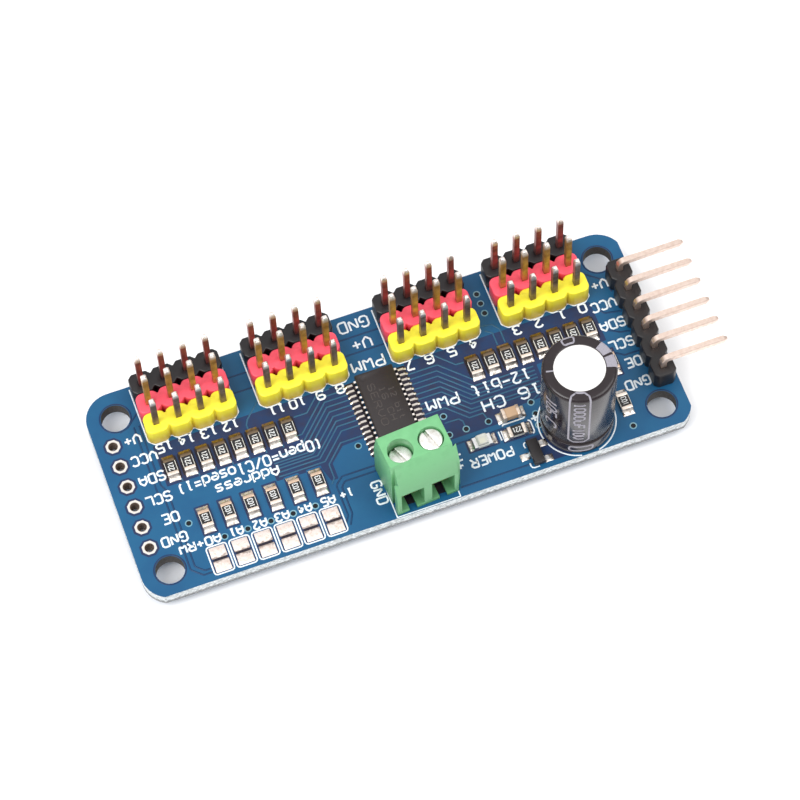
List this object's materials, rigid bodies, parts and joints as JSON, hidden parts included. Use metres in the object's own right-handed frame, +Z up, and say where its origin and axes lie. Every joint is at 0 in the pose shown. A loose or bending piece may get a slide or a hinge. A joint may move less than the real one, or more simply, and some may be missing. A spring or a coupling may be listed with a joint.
{
  "type": "servo driver board",
  "caption": "Circuit board that drives sixteen servos: three-row pin headers along one edge, a driver chip, a two-pole screw terminal with turning screws, and a right-angle control header.",
  "frame": {"origin": "centre of the four mounting holes on the board's underside", "axes": "+X towards the right-angle control header, +Y towards the servo headers, +Z up out of the component side"},
  "size_m": [0.0677, 0.0251, 0.0154],
  "materials": {
    "solder_mask": "gloss",
    "tinned_pad": "satin",
    "black_plastic": "satin",
    "yellow_plastic": "gloss",
    "red_plastic": "gloss",
    "green_plastic": "satin",
    "white_plastic": "satin",
    "plated_pin": "polished",
    "zinc_screw": "satin",
    "terminal_brass": "satin",
    "sleeve": "gloss",
    "can_aluminium": "satin",
    "bung_rubber": "matte",
    "winding_foil": "matte",
    "chip_epoxy": "matte",
    "tinned_lead": "satin",
    "white_ceramic": "satin",
    "resistor_glaze": "gloss",
    "end_metal": "satin",
    "brown_ceramic": "satin",
    "clear_lens": "gloss",
    "solder": "satin"
  },
  "bodies": {
    "board": {"address_pads": "tinned_pad", "breakout_pads": "tinned_pad", "capacitor_bung": "bung_rubber", "capacitor_can": "can_aluminium", "capacitor_leads": "plated_pin", "capacitor_sleeve": "sleeve", "capacitor_winding": "winding_foil", "ceramic_capacitor_body": "brown_ceramic", "ceramic_capacitor_ends": "end_metal", "circuit_board": "solder_mask", "control_header_housing": "black_plastic", "control_header_pins": "plated_pin", "driver_chip_body": "chip_epoxy", "driver_chip_leads": "tinned_lead", "left_terminal_contact": "terminal_brass", "power_lamp_base": "white_plastic", "power_lamp_ends": "end_metal", "power_lamp_lens": "clear_lens", "pull_resistor_bodies": "white_ceramic", "pull_resistor_ends": "end_metal", "pull_resistor_glaze": "resistor_glaze", "right_terminal_contact": "terminal_brass", "series_resistor_bodies": "white_ceramic", "series_resistor_ends": "end_metal", "series_resistor_glaze": "resistor_glaze", "servo_header_1_ground_housing": "black_plastic", "servo_header_1_ground_pins": "plated_pin", "servo_header_1_power_housing": "red_plastic", "servo_header_1_power_pins": "plated_pin", "servo_header_1_signal_housing": "yellow_plastic", "servo_header_1_signal_pins": "plated_pin", "servo_header_2_ground_housing": "black_plastic", "servo_header_2_ground_pins": "plated_pin", "servo_header_2_power_housing": "red_plastic", "servo_header_2_power_pins": "plated_pin", "servo_header_2_signal_housing": "yellow_plastic", "servo_header_2_signal_pins": "plated_pin", "servo_header_3_ground_housing": "black_plastic", "servo_header_3_ground_pins": "plated_pin", "servo_header_3_power_housing": "red_plastic", "servo_header_3_power_pins": "plated_pin", "servo_header_3_signal_housing": "yellow_plastic", "servo_header_3_signal_pins": "plated_pin", "servo_header_4_ground_housing": "black_plastic", "servo_header_4_ground_pins": "plated_pin", "servo_header_4_power_housing": "red_plastic", "servo_header_4_power_pins": "plated_pin", "servo_header_4_signal_housing": "yellow_plastic", "servo_header_4_signal_pins": "plated_pin", "surface_solder": "solder", "terminal_housing": "green_plastic", "through_hole_solder": "solder", "transistor_body": "chip_epoxy", "transistor_leads": "tinned_lead"},
    "left_screw": {"left_terminal_screw": "zinc_screw"},
    "left_clamp": {"left_clamp_plate": "zinc_screw"},
    "right_screw": {"right_terminal_screw": "zinc_screw"},
    "right_clamp": {"right_clamp_plate": "zinc_screw"}
  },
  "joints": [
    {"name": "left_clamp_slide", "type": "slide", "parent": "board", "child": "left_clamp", "axis": [0, 0, 1], "range_m": [-0.001, 0.0014]},
    {"name": "left_screw_turn", "type": "hinge", "parent": "left_clamp", "child": "left_screw", "pos_m": [-0.00163, -0.00884, 0.005], "axis": [0, 0, 1], "range_deg": [-909, 1269]},
    {"name": "right_clamp_slide", "type": "slide", "parent": "board", "child": "right_clamp", "axis": [0, 0, 1], "range_m": [-0.00225, 0.00015]},
    {"name": "right_screw_turn", "type": "hinge", "parent": "right_clamp", "child": "right_screw", "pos_m": [0.00187, -0.0086, 0.005], "axis": [0, 0, 1], "range_deg": [-2034, 144]}
  ],
  "couplings": [
    {"joint": "left_screw_turn", "follows": "left_clamp_slide", "rad_per_m": 15708},
    {"joint": "right_screw_turn", "follows": "right_clamp_slide", "rad_per_m": 15708}
  ]
}
